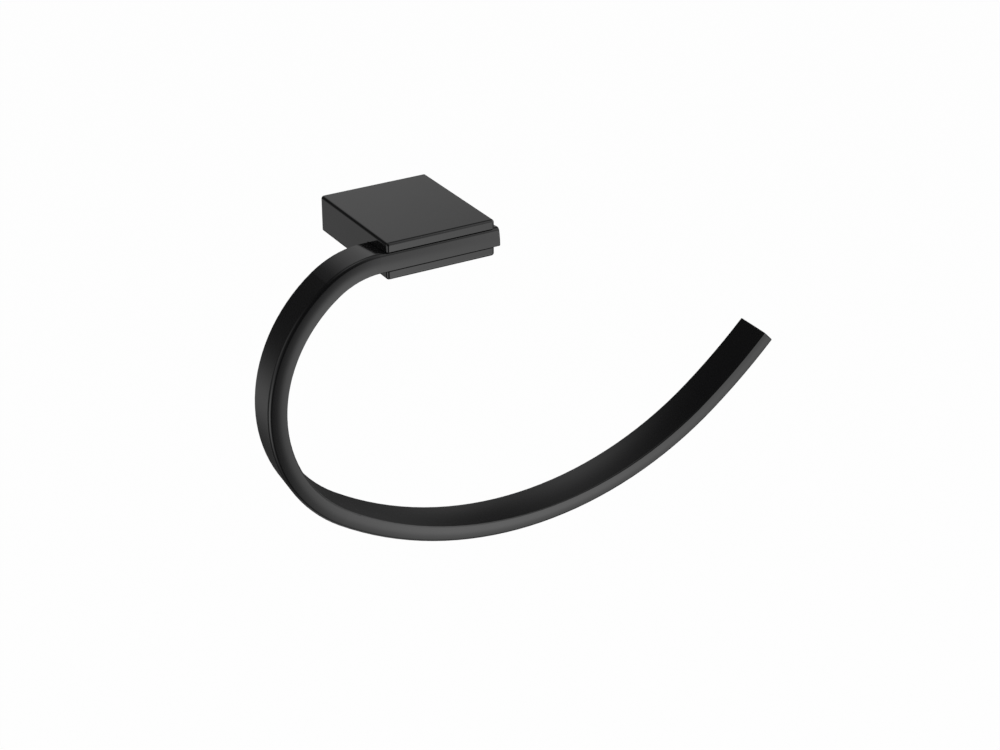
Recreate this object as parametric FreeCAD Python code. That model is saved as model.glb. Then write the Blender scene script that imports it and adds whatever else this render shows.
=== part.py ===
import FreeCAD, Part
import math
import os
from FreeCAD import Rotation, Vector

# Open towel ring on a flat bracket block, in millimetres.
# The origin is the centre of the block's wall face. +Y points into the wall, the front looks
# along -Y, +X is to the right seen from the front, and +Z is up.

# Bracket block
block_width = 45.0
block_depth = 53.0
block_height = 14.5
block_edge_radius = 1.1
side_wall = 2.2
top_wall = 2.2
bottom_wall = 3.0
web_thickness = 7.0
pocket_corner_radius = 1.5

# Flat bar that forms the ring. Its front is crowned and falls back towards the outer side. Its
# sides have the draft of a casting: both stand this much further inward at the back than at
# the front, the outer side as a flat and the inner side as a gentle crown. The front edges are
# rounded and the back edges bevelled
bar_thickness = 7.2
bar_depth = 15.75
bar_front_set_back = 1.05
bar_draft = 1.1
bar_inner_front_radius = 0.5
bar_outer_front_radius = 1.5
bar_back_bevel = 0.55
bar_end_radius = 0.4

# Seat of the bar in the block
slot_clearance = 0.1
bar_proud = 0.45
bar_end_stand_out = 2.2
slot_root_radius = 0.5
slot_mouth_radius = 0.25

# Line of the ring, along the middle of the bar's thickness: a straight run that ends just
# past the block's left side, then tangent bends, each with its radius and its angle in degrees
straight_past_block = 2.4
shoulder_radius = 33.1
shoulder_angle = 35.7
side_radius = 57.9
side_angle = 110.3
bottom_radius = 144.6
bottom_angle = 70.9
tail_radius = 248.6
tail_angle = 8.6

# Screws that hold the bar in its slot
bar_screw_spacing = 24.0
bar_screw_thread_radius = 1.5
bar_screw_head_radius = 2.75
bar_screw_head_height = 2.0
bar_screw_grip = 6.0
bar_screw_hole_clearance = 0.2
bar_screw_socket_width = 2.0
bar_screw_socket_depth = 1.2
tapped_hole_spare_depth = 1.5
drill_point_angle = 118.0

# Wall plate that the block slides over
plate_thickness = 6.0
plate_clearance = 0.2
wall_slot_spacing = 22.0
wall_slot_width = 5.0
wall_slot_length = 9.0

# Grub screw from underneath, against a drilled seat in the plate
grub_radius = 2.0
grub_recess = 0.4
grub_tip_radius = 0.9
grub_tip_length = 1.1
grub_socket_width = 2.0
grub_socket_depth = 1.5
seat_clearance = 0.05
thread_clearance = 0.03

# Places that several pieces share
half_width = block_width / 2
half_height = block_height / 2
bar_front_y = -(block_depth + bar_proud)
slot_root_y = bar_front_y + bar_depth
pocket_floor_z = -half_height + bottom_wall
pocket_roof_z = half_height - top_wall
pocket_root_y = slot_root_y + web_thickness
pocket_half_width = half_width - side_wall
grub_y = -plate_thickness / 2
bar_screw_z = -0.75 * bar_draft
same_place = 1e-5


def box_between(low, high):
    """A box from its lowest corner to its highest corner."""
    size = high - low
    return Part.makeBox(size.x, size.y, size.z, low)


def edges_along(shape, direction):
    """The straight edges of a shape that run along a direction."""
    found = []
    for edge in shape.Edges:
        if len(edge.Vertexes) == 2:
            span = edge.Vertexes[1].Point - edge.Vertexes[0].Point
            if abs(abs(span.dot(direction)) - edge.Length) < same_place:
                found.append(edge)
    return found


def edges_on_plane(shape, point, normal):
    """The edges of a shape that lie wholly on a plane."""
    found = []
    for edge in shape.Edges:
        first, last = edge.ParameterRange
        points = [edge.valueAt(first), edge.valueAt((first + last) / 2), edge.valueAt(last)]
        if all(abs((place - point).dot(normal)) < same_place for place in points):
            found.append(edge)
    return found


def hex_prism(across_flats, base, axis, height):
    """A hexagonal prism for a screw's socket."""
    corner_radius = across_flats / math.sqrt(3)
    side = Vector(1, 0, 0)
    corners = []
    for index in range(7):
        turn = Rotation(axis, 60.0 * index)
        corners.append(base + turn.multVec(side) * corner_radius)
    return Part.Face(Part.makePolygon(corners)).extrude(axis * height)


def crown_radius(length, rise):
    """Radius of an arc that starts along a length and has moved aside by the rise at its end."""
    return (length ** 2 + rise ** 2) / (2 * rise)


def bar_inner_side(inner_front, inward):
    """The crowned inner side, from the bar's front to its back bevel, where it runs square to the wall."""
    length = bar_depth - bar_back_bevel
    radius = crown_radius(length, bar_draft)
    turn = math.asin(length / radius) / 2
    back_end = inner_front + inward * bar_draft + Vector(0, length, 0)
    sagitta = radius * (1 - math.cos(turn))
    middle = back_end - inward * sagitta - Vector(0, radius * math.sin(turn), 0)
    return Part.Arc(inner_front, middle, back_end).toShape(), back_end


def bar_section(place, heading):
    """The bar's cross-section at a place on its line, square to its heading."""
    outward = Rotation(Vector(0, 1, 0), 90.0).multVec(heading)
    half = bar_thickness / 2
    inner_front = place - outward * half + Vector(0, bar_front_y, 0)
    outer_front = place + outward * half + Vector(0, bar_front_y + bar_front_set_back, 0)
    outer_back = place + outward * (half - bar_draft) + Vector(0, bar_front_y + bar_depth, 0)
    side_end = outer_back + (outer_front - outer_back).normalize() * bar_back_bevel
    back_start = outer_back - outward * bar_back_bevel

    radius = crown_radius(bar_thickness, bar_front_set_back)
    turn = math.asin(bar_thickness / radius) / 2
    sagitta = Vector(0, radius * (1 - math.cos(turn)), 0)
    front_middle = inner_front + outward * radius * math.sin(turn) + sagitta
    inner_side, inner_end = bar_inner_side(inner_front, -outward)
    back_end = inner_end + outward * bar_back_bevel + Vector(0, bar_back_bevel, 0)
    slice_of_bar = Part.Face(Part.Wire([
        Part.Arc(inner_front, front_middle, outer_front).toShape(),
        Part.LineSegment(outer_front, side_end).toShape(),
        Part.LineSegment(side_end, back_start).toShape(),
        Part.LineSegment(back_start, back_end).toShape(),
        Part.LineSegment(back_end, inner_end).toShape(),
        inner_side,
    ])).extrude(heading)
    for corner, radius in (
        (inner_front, bar_inner_front_radius),
        (outer_front, bar_outer_front_radius),
    ):
        long_edges = edges_along(slice_of_bar, heading)
        at_corner = [edge for edge in long_edges if edge.distToShape(Part.Vertex(corner))[0] < same_place]
        slice_of_bar = slice_of_bar.makeFillet(radius, at_corner)
    for face in slice_of_bar.Faces:
        if abs((face.CenterOfMass - place).dot(heading)) < same_place:
            return face


def slot_section(x):
    """The slot's cross-section: the bar's two sides with their clearance, open to the front."""
    past_front = -block_depth - block_edge_radius
    half = bar_thickness / 2 + slot_clearance
    draft_slope = bar_draft / bar_depth
    upper_front = Vector(x, past_front, half - draft_slope * (past_front - bar_front_y))
    upper_root = Vector(x, slot_root_y, half - bar_draft)
    lower_front = Vector(x, bar_front_y, -half)
    lower_mouth = Vector(x, past_front, -half)
    lower_side, side_end = bar_inner_side(lower_front, Vector(0, 0, -1))
    lower_root = Vector(x, slot_root_y, side_end.z)
    return Part.Face(Part.Wire([
        Part.LineSegment(upper_front, upper_root).toShape(),
        Part.LineSegment(upper_root, lower_root).toShape(),
        Part.LineSegment(lower_root, side_end).toShape(),
        lower_side,
        Part.LineSegment(lower_front, lower_mouth).toShape(),
        Part.LineSegment(lower_mouth, upper_front).toShape(),
    ]))


def screw_places(spacing):
    """The two places left and right of the middle where a pair of screws stands."""
    return [-spacing / 2, spacing / 2]


def make_bracket_body():
    """The block: a hollow back for the wall plate and a slot across the front for the bar."""
    low = Vector(-half_width, -block_depth, -half_height)
    body = box_between(low, Vector(half_width, 0, half_height))
    softened = edges_along(body, Vector(0, 1, 0))
    softened += edges_on_plane(body, low, Vector(0, 1, 0))
    body = body.makeFillet(block_edge_radius, softened)

    past_side = half_width + block_edge_radius
    slot = slot_section(-past_side).extrude(Vector(2 * past_side, 0, 0))
    root = Vector(0, slot_root_y, 0)
    root_edges = [edge for edge in edges_on_plane(slot, root, Vector(0, 1, 0)) if edge.Length > block_width]
    body = body.cut(slot.makeFillet(slot_root_radius, root_edges))

    mouth_edges = []
    for edge in edges_along(body, Vector(1, 0, 0)):
        place = edge.Vertexes[0].Point
        on_front = abs(place.y + block_depth) < same_place
        if on_front and abs(place.z) < half_height - 2 * block_edge_radius:
            mouth_edges.append(edge)
    body = body.makeFillet(slot_mouth_radius, mouth_edges)

    pocket = box_between(
        Vector(-pocket_half_width, pocket_root_y, pocket_floor_z),
        Vector(pocket_half_width, 0, pocket_roof_z),
    )
    pocket = pocket.makeFillet(pocket_corner_radius, edges_along(pocket, Vector(0, 1, 0)))
    body = body.cut(pocket)

    hole_radius = bar_screw_thread_radius + bar_screw_hole_clearance
    for x in screw_places(bar_screw_spacing):
        start = Vector(x, slot_root_y, bar_screw_z)
        body = body.cut(Part.makeCylinder(hole_radius, web_thickness, start, Vector(0, 1, 0)))

    grub_hole = Part.makeCylinder(
        grub_radius + thread_clearance,
        bottom_wall,
        Vector(0, grub_y, -half_height),
        Vector(0, 0, 1),
    )
    return body.cut(grub_hole)


def make_ring_bar():
    """The bar: a straight run in the slot and four tangent bends, swept as one solid."""
    place = Vector(half_width + bar_end_stand_out, 0, 0)
    heading = Vector(-1, 0, 0)
    start = Vector(place)
    straight = block_width + bar_end_stand_out + straight_past_block
    bar = bar_section(place, heading).extrude(heading * straight)
    place = place + heading * straight

    turn_axis = Vector(0, -1, 0)
    bends = [
        (shoulder_radius, shoulder_angle),
        (side_radius, side_angle),
        (bottom_radius, bottom_angle),
        (tail_radius, tail_angle),
    ]
    for radius, turn in bends:
        inward = Rotation(turn_axis, 90.0).multVec(heading)
        centre = place + inward * radius
        bend = bar_section(place, heading).revolve(centre, turn_axis, turn)
        bar = bar.fuse(bend)
        place = centre + Rotation(turn_axis, turn).multVec(place - centre)
        heading = Rotation(turn_axis, turn).multVec(heading)
    bar = bar.removeSplitter()

    end_edges = edges_on_plane(bar, start, Vector(1, 0, 0))
    end_edges += edges_on_plane(bar, place, heading)
    bar = bar.makeFillet(bar_end_radius, end_edges)

    drill_radius = bar_screw_thread_radius + thread_clearance
    drill_depth = bar_screw_grip + tapped_hole_spare_depth
    point_depth = drill_radius / math.tan(math.radians(drill_point_angle / 2))
    for x in screw_places(bar_screw_spacing):
        mouth = Vector(x, slot_root_y, bar_screw_z)
        bar = bar.cut(Part.makeCylinder(drill_radius, drill_depth, mouth, Vector(0, -1, 0)))
        point = Vector(x, slot_root_y - drill_depth, bar_screw_z)
        bar = bar.cut(Part.makeCone(drill_radius, 0, point_depth, point, Vector(0, -1, 0)))
    return bar


def make_bar_screw(x):
    """A low-head socket screw from the hollow back, through the web, into the bar."""
    seat = Vector(x, pocket_root_y, bar_screw_z)
    shank = web_thickness + bar_screw_grip
    screw = Part.makeCylinder(bar_screw_head_radius, bar_screw_head_height, seat, Vector(0, 1, 0))
    screw = screw.fuse(Part.makeCylinder(bar_screw_thread_radius, shank, seat, Vector(0, -1, 0)))
    top = Vector(x, pocket_root_y + bar_screw_head_height, bar_screw_z)
    socket = hex_prism(bar_screw_socket_width, top, Vector(0, -1, 0), bar_screw_socket_depth)
    return screw.removeSplitter().cut(socket)


def grub_tip(clearance):
    """The grub screw's blunt cone, or with a clearance the seat drilled for it."""
    base = Vector(0, grub_y, pocket_floor_z)
    length = grub_tip_length + clearance
    return Part.makeCone(grub_radius + clearance, grub_tip_radius + clearance, length, base)


def make_grub_screw():
    """The grub screw: its socket faces down, its blunt cone stands in the plate's seat."""
    foot_z = -half_height + grub_recess
    foot = Vector(0, grub_y, foot_z)
    screw = Part.makeCylinder(grub_radius, pocket_floor_z - foot_z, foot, Vector(0, 0, 1))
    screw = screw.fuse(grub_tip(0)).removeSplitter()
    return screw.cut(hex_prism(grub_socket_width, foot, Vector(0, 0, 1), grub_socket_depth))


def wall_slot(x, z):
    """A hole with round ends for a wall screw, as deep as the plate."""
    half_run = (wall_slot_length - wall_slot_width) / 2
    end_radius = wall_slot_width / 2
    hole = box_between(
        Vector(x - half_run, -plate_thickness, z - end_radius),
        Vector(x + half_run, 0, z + end_radius),
    )
    for end_x in (x - half_run, x + half_run):
        front = Vector(end_x, -plate_thickness, z)
        hole = hole.fuse(Part.makeCylinder(end_radius, plate_thickness, front, Vector(0, 1, 0)))
    return hole.removeSplitter()


def make_wall_plate():
    """The plate on the wall: it fills the mouth of the hollow back with a small clearance."""
    plate = box_between(
        Vector(-pocket_half_width + plate_clearance, -plate_thickness, pocket_floor_z + plate_clearance),
        Vector(pocket_half_width - plate_clearance, 0, pocket_roof_z - plate_clearance),
    )
    corner_radius = pocket_corner_radius - plate_clearance
    plate = plate.makeFillet(corner_radius, edges_along(plate, Vector(0, 1, 0)))
    middle_z = (pocket_floor_z + pocket_roof_z) / 2
    for x in screw_places(wall_slot_spacing):
        plate = plate.cut(wall_slot(x, middle_z))
    return plate.cut(grub_tip(seat_clearance))


left_x, right_x = screw_places(bar_screw_spacing)
pieces = {
    "bracket_body": make_bracket_body(),
    "ring_bar": make_ring_bar(),
    "bar_screw_left": make_bar_screw(left_x),
    "bar_screw_right": make_bar_screw(right_x),
    "wall_plate": make_wall_plate(),
    "grub_screw": make_grub_screw(),
}

os.makedirs("parts", exist_ok=True)
for name, shape in pieces.items():
    shape.exportStep("parts/" + name + ".step")
    print(name, "solids", len(shape.Solids), "valid", shape.isValid(), "mm3", round(shape.Volume, 1))
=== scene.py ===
import math

import bpy
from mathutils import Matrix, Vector


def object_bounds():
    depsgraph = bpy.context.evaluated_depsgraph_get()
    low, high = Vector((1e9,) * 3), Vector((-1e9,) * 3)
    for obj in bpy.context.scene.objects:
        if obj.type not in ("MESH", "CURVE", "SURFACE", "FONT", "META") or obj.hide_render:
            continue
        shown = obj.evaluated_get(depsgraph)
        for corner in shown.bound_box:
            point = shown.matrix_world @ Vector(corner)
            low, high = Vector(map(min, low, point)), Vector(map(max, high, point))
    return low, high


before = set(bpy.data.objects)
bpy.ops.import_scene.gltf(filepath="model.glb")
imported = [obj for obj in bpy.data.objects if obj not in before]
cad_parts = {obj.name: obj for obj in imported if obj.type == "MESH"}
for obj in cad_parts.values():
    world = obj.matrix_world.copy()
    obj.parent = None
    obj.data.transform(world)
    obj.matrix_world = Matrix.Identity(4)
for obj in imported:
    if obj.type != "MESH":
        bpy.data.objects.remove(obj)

cad_low, cad_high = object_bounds()

# Lengths are in metres, unless a name ends in MM, and angles in degrees. A direction is an azimuth
# from the front, which grows to the right, and an elevation.
MM = 0.001

# The photograph's view: the camera looks down on the ring from the left of the bracket. The
# lens gives 2200 pixels of focal length in an image 1000 pixels wide.
VIEW_AZIMUTH = -30.348
VIEW_ELEVATION = 26.822
VIEW_DISTANCE = 0.83759
VIEW_CENTRE = Vector((0.023277, -0.055392, -0.056050))
LENS_MM = 79.2
SENSOR_MM = 36.0

# The studio: a plain soft light from all around, a white backdrop, and a sheet of white paper
# for the floor, far enough below for the object to seem to hang in the open. A share of the
# paper is plain white. The rest is lit, so it keeps the object's shadow.
AIR_LEVEL = 0.6
BACKDROP_LEVEL = 0.989
PAPER_HEIGHT = -0.9
PAPER_SIZE = 40.0
PAPER_WHITE_SHARE = 0.97

# The light tent, a sphere that only gloss sees, whose emission is painted reflection with no lamp
# behind it:
# its radius, the painted level of its cloth between the glows, and each painted glow, as azimuth,
# elevation, tightness and brightness. White is 1.
TENT_RADIUS = 3.0
PAINTED_REFLECTION_DIM = 0.035
PAINTED_REFLECTION_GLOWS = (
    # Painted glows in front, mirrored by the crowned front of the bar and by the front of the
    # bracket
    (38, 0, 33, 1.38),
    (20, -20, 47, 1.03),
    (31, -40, 40, 0.95),
    (20, -40, 50, 0.22),
    (55, -35, 33, 0.56),
    # Painted glows to the right and to the left, mirrored by the rounded edges of the front
    (63, 34, 11, 1.2),
    (-69, -24, 17, 1.1),
    # Painted glows behind, mirrored by the faces that the photograph sees from above and from the
    # left
    (153, 16, 44, 0.26),
    (-154, -22, 35, 0.18),
    (167, 37, 31, 0.33),
    # Painted glows above, below and beside the object, for views other than the photograph's
    (0, 90, 20, 0.5),
    (0, -90, 14, 0.4),
    (100, 5, 14, 0.45),
    (-100, 10, 14, 0.35),
)


def srgb(code):
    """Linear colour, with alpha, of an sRGB hex code."""
    levels = [int(code[place:place + 2], 16) / 255 for place in (1, 3, 5)]
    return [v / 12.92 if v <= 0.04045 else ((v + 0.055) / 1.055) ** 2.4 for v in levels] + [1.0]


def node(tree, kind, inputs=None, **settings):
    """Adds a node with its settings. Each input, by name or number, gets a value or a link."""
    made = tree.nodes.new(kind)
    for name, value in settings.items():
        setattr(made, name, value)
    for key, value in (inputs or {}).items():
        if isinstance(value, bpy.types.NodeSocket):
            tree.links.new(value, made.inputs[key])
        else:
            made.inputs[key].default_value = value
    return made


def empty_tree(owner):
    """Clears the node tree of a material or world and returns it."""
    owner.use_nodes = True
    owner.node_tree.nodes.clear()
    return owner.node_tree


def surface(name, add_shader):
    """A new material. A function adds the shader to its empty tree and returns its output."""
    material = bpy.data.materials.new(name)
    tree = empty_tree(material)
    node(tree, "ShaderNodeOutputMaterial", {"Surface": add_shader(tree)})
    return material


def mottling(tree, width, detail, low, high):
    """A value that drifts between two levels, in soft patches of about a width."""
    place = node(tree, "ShaderNodeTexCoord").outputs["Object"]
    noise = node(tree, "ShaderNodeTexNoise", {
        "Vector": place,
        "Scale": 1 / width,
        "Detail": detail,
    })
    level = node(tree, "ShaderNodeMapRange", {
        "Value": noise.outputs["Fac"],
        "To Min": low,
        "To Max": high,
    })
    return level.outputs["Result"]


def lacquer_shader(tree):
    """Black lacquer, sprayed and baked on cast zinc and steel, under a clear gloss.

    It gives the eye a deep black body that mirrors its surroundings almost sharply. Close up the
    sprayed film has a faint orange peel, about 1.2 mm from crest to crest, and the gloss changes
    a little from place to place, over about 9 mm, where the film is thicker or thinner.
    """
    peel = node(tree, "ShaderNodeBump", {
        "Height": mottling(tree, width=1.2 * MM, detail=1.0, low=0.0, high=1.0),
        "Strength": 0.02,
        "Distance": 0.2 * MM,
    })
    return node(tree, "ShaderNodeBsdfPrincipled", {
        "Base Color": srgb("#070708"),
        "Roughness": mottling(tree, width=9 * MM, detail=2.0, low=0.12, high=0.2),
        "IOR": 1.5,
        "Normal": peel.outputs["Normal"],
        "Coat Weight": 1.0,
        "Coat Roughness": 0.1,
        "Coat IOR": 1.5,
    }).outputs["BSDF"]


def zinc_shader(tree):
    """Pressed steel with a bright zinc plating: pale, slightly blue, mottled over about 4 mm."""
    return node(tree, "ShaderNodeBsdfPrincipled", {
        "Base Color": srgb("#B9BCC0"),
        "Metallic": 1.0,
        "Roughness": mottling(tree, width=4 * MM, detail=3.0, low=0.28, high=0.42),
    }).outputs["BSDF"]


def screw_shader(tree):
    """Screw steel with a black oxide skin: dark grey, oiled and uneven over about 1.5 mm."""
    return node(tree, "ShaderNodeBsdfPrincipled", {
        "Base Color": srgb("#45464A"),
        "Metallic": 1.0,
        "Roughness": mottling(tree, width=1.5 * MM, detail=2.0, low=0.3, high=0.45),
    }).outputs["BSDF"]


def backdrop_rays(tree):
    """1 for the rays that see the white background: from the camera, off gloss or through glass."""
    path = node(tree, "ShaderNodeLightPath").outputs
    direct = node(tree, "ShaderNodeMath", {
        0: path["Is Camera Ray"],
        1: path["Is Glossy Ray"],
    }, operation="MAXIMUM")
    return node(tree, "ShaderNodeMath", {
        0: direct.outputs["Value"],
        1: path["Is Transmission Ray"],
    }, operation="MAXIMUM").outputs["Value"]


def studio_air():
    """The world: a plain soft light, and the white background for what looks at it."""
    world = bpy.data.worlds.new("studio_air")
    bpy.context.scene.world = world
    tree = empty_tree(world)
    white = srgb("#FFFFFF")
    soft = node(tree, "ShaderNodeBackground", {"Color": white, "Strength": AIR_LEVEL})
    backdrop = node(tree, "ShaderNodeBackground", {"Color": white, "Strength": BACKDROP_LEVEL})
    mix = node(tree, "ShaderNodeMixShader", {
        0: backdrop_rays(tree),
        1: soft.outputs["Background"],
        2: backdrop.outputs["Background"],
    })
    node(tree, "ShaderNodeOutputWorld", {"Surface": mix.outputs["Shader"]})


def paper_shader(tree):
    """Seamless white paper. What looks at it sees mostly plain white, the rest of it is lit."""
    matt = node(tree, "ShaderNodeBsdfDiffuse", {"Color": srgb("#F2F2F2")})
    white = node(tree, "ShaderNodeEmission", {"Color": srgb("#FFFFFF"), "Strength": 1.0})
    share = node(tree, "ShaderNodeMath", {
        0: backdrop_rays(tree),
        1: PAPER_WHITE_SHARE,
    }, operation="MULTIPLY")
    return node(tree, "ShaderNodeMixShader", {
        0: share.outputs["Value"],
        1: matt.outputs["BSDF"],
        2: white.outputs["Emission"],
    }).outputs["Shader"]


def studio_floor():
    """The sheet of paper far below the object. The object doesn't mirror it."""
    bpy.ops.mesh.primitive_plane_add(size=PAPER_SIZE, location=(0, 0, PAPER_HEIGHT))
    floor = bpy.context.object
    floor.name = "floor"
    floor.data.materials.append(surface("white_paper", paper_shader))
    floor.visible_glossy = False


def direction(azimuth, elevation):
    """The unit vector that points in a direction."""
    turn, rise = math.radians(azimuth), math.radians(elevation)
    return Vector((
        math.sin(turn) * math.cos(rise),
        -math.cos(turn) * math.cos(rise),
        math.sin(rise),
    ))


def painted_reflection_shader(tree):
    """White cloth with painted reflection, no lamp behind it: a painted dim level, with a soft
    round painted glow at each listed place.

    A glow gives its brightness times exp(tightness * (cosine - 1)), where the cosine is that of
    the angle from its middle.
    """
    place = node(tree, "ShaderNodeTexCoord").outputs["Object"]
    outward = node(tree, "ShaderNodeVectorMath", {0: place}, operation="NORMALIZE")
    level = PAINTED_REFLECTION_DIM
    for azimuth, elevation, tightness, brightness in PAINTED_REFLECTION_GLOWS:
        cosine = node(tree, "ShaderNodeVectorMath", {
            0: outward.outputs["Vector"],
            1: direction(azimuth, elevation),
        }, operation="DOT_PRODUCT")
        fall = node(tree, "ShaderNodeMath", {
            0: cosine.outputs["Value"],
            1: tightness,
            2: -tightness,
        }, operation="MULTIPLY_ADD")
        glow = node(tree, "ShaderNodeMath", {0: fall.outputs["Value"]}, operation="EXPONENT")
        level = node(tree, "ShaderNodeMath", {
            0: glow.outputs["Value"],
            1: brightness,
            2: level,
        }, operation="MULTIPLY_ADD").outputs["Value"]
    return node(tree, "ShaderNodeEmission", {
        "Color": srgb("#FFFFFF"),
        "Strength": level,
    }).outputs["Emission"]


def painted_reflection_tent():
    """A round light tent of painted reflections, which only gloss sees, so that the backdrop stays
    plain.
    """
    bpy.ops.mesh.primitive_ico_sphere_add(subdivisions=5, radius=TENT_RADIUS)
    tent = bpy.context.object
    tent.name = "painted_reflection_tent"
    # The cloth's emission is painted reflection: glows that only gloss sees.
    cloth = surface("painted_reflection_cloth", painted_reflection_shader)
    cloth.cycles.emission_sampling = "NONE"
    tent.data.materials.append(cloth)
    tent.visible_camera = False
    tent.visible_diffuse = False
    tent.visible_transmission = False
    tent.visible_shadow = False


def softbox(name, place, aim, size, watts):
    """A square soft lamp at a place, aimed at a point. Gloss sees the tent's painted glows and not
    the lamp.
    """
    data = bpy.data.lights.new(name, "AREA")
    data.shape = "SQUARE"
    data.size = size
    data.energy = watts
    lamp = bpy.data.objects.new(name, data)
    bpy.context.scene.collection.objects.link(lamp)
    lamp.location = place
    lamp.rotation_mode = "QUATERNION"
    lamp.rotation_quaternion = (aim - Vector(place)).to_track_quat("-Z", "Y")
    lamp.visible_glossy = False


def photo_camera():
    """The camera of the photograph."""
    to_camera = direction(VIEW_AZIMUTH, VIEW_ELEVATION)
    data = bpy.data.cameras.new("camera")
    data.lens = LENS_MM
    data.sensor_width = SENSOR_MM
    camera = bpy.data.objects.new("camera", data)
    bpy.context.scene.collection.objects.link(camera)
    camera.location = VIEW_CENTRE + to_camera * VIEW_DISTANCE
    camera.rotation_mode = "QUATERNION"
    camera.rotation_quaternion = (-to_camera).to_track_quat("-Z", "Y")
    bpy.context.scene.camera = camera


lacquer = surface("black_stoving_lacquer", lacquer_shader)
zinc_plating = surface("zinc_plated_steel", zinc_shader)
screw_steel = surface("blackened_screw_steel", screw_shader)
for name, material in (
    ("bracket_body", lacquer),
    ("ring_bar", lacquer),
    ("wall_plate", zinc_plating),
    ("bar_screw_left", screw_steel),
    ("bar_screw_right", screw_steel),
    ("grub_screw", screw_steel),
):
    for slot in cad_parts[name].material_slots:
        slot.material = material

studio_air()
studio_floor()
painted_reflection_tent()

ring_centre = (cad_low + cad_high) / 2
softbox("key_lamp", place=(0.9, -0.9, 1.2), aim=ring_centre, size=0.9, watts=12.0)
softbox("fill_lamp", place=(-1.2, -0.6, 0.9), aim=ring_centre, size=1.0, watts=5.0)

photo_camera()
bpy.context.scene.view_settings.view_transform = "Standard"
